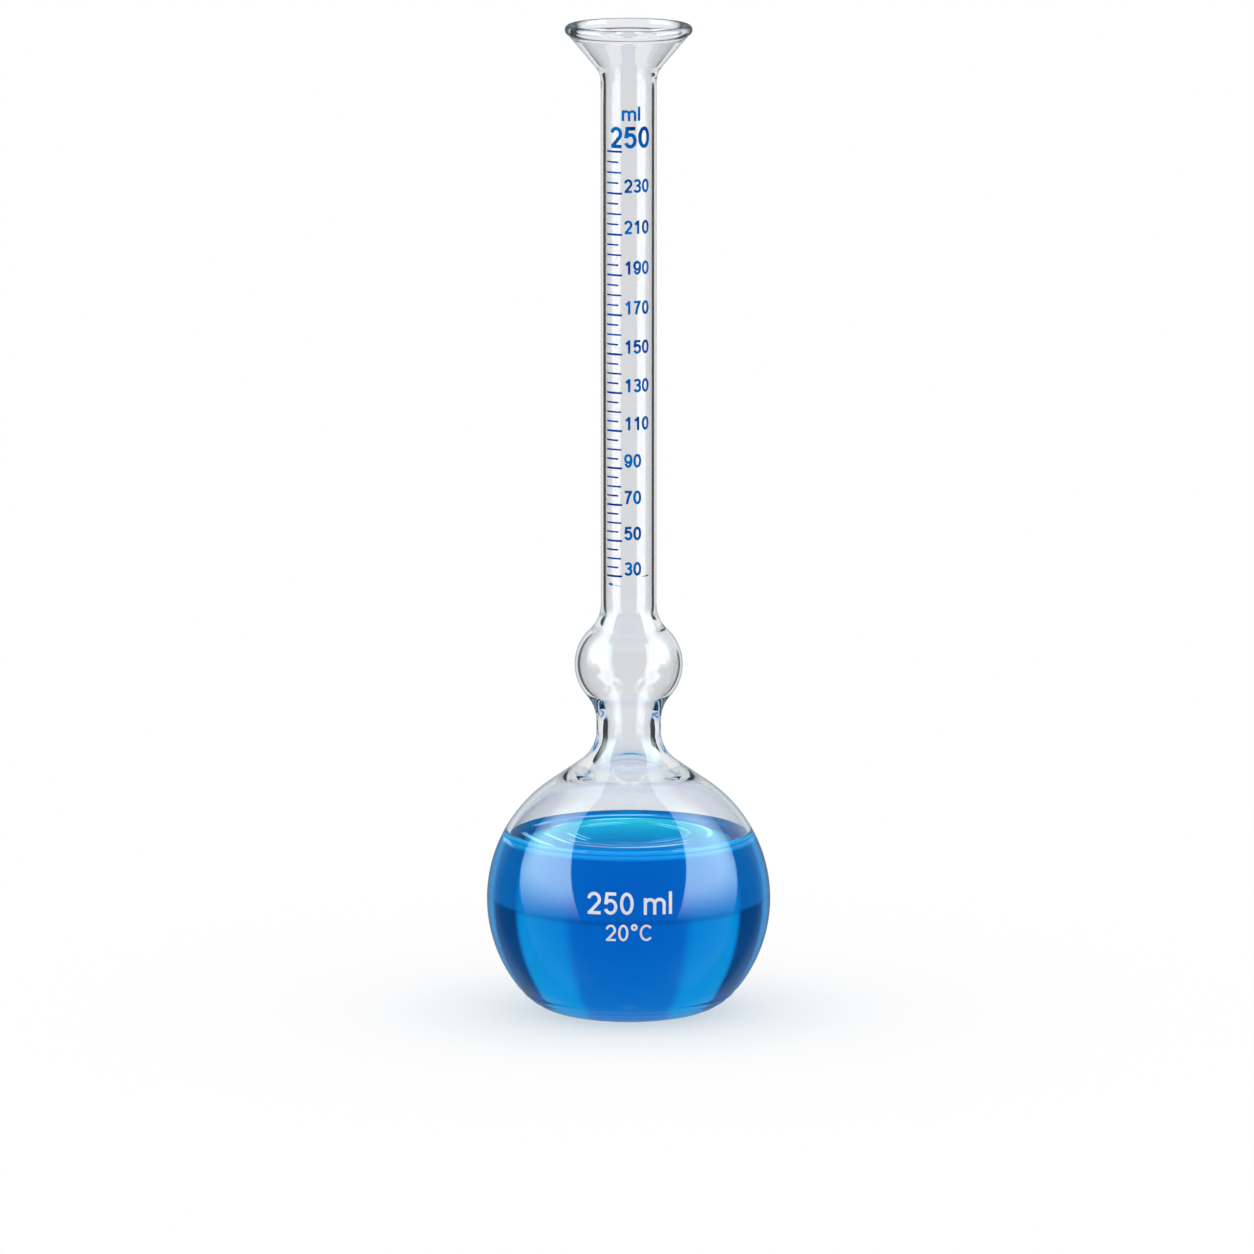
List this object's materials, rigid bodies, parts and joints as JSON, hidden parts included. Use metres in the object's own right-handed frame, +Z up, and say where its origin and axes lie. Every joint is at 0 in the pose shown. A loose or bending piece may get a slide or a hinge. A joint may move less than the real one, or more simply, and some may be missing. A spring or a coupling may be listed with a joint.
{
  "type": "le chatelier flask",
  "caption": "Clear blown-glass density flask: flat-bottomed round bulb holding blue liquid, small bulb above it, long graduated neck and a funnel mouth with a beaded rim.",
  "frame": {"origin": "centre of the foot, on the surface that the flask stands on", "axes": "+Z up the flask's axis to the mouth, -Y towards the side that carries the scale"},
  "size_m": [0.085, 0.085, 0.2973],
  "materials": {
    "flask_glass": "clear, fire-polished",
    "blue_liquid": "clear blue water-like liquid with a still surface",
    "blue_enamel": "fired-on enamel, satin"
  },
  "bodies": {
    "root": {"flask": "flask_glass", "liquid": "blue_liquid", "graduation_marks": "blue_enamel"}
  },
  "joints": []
}
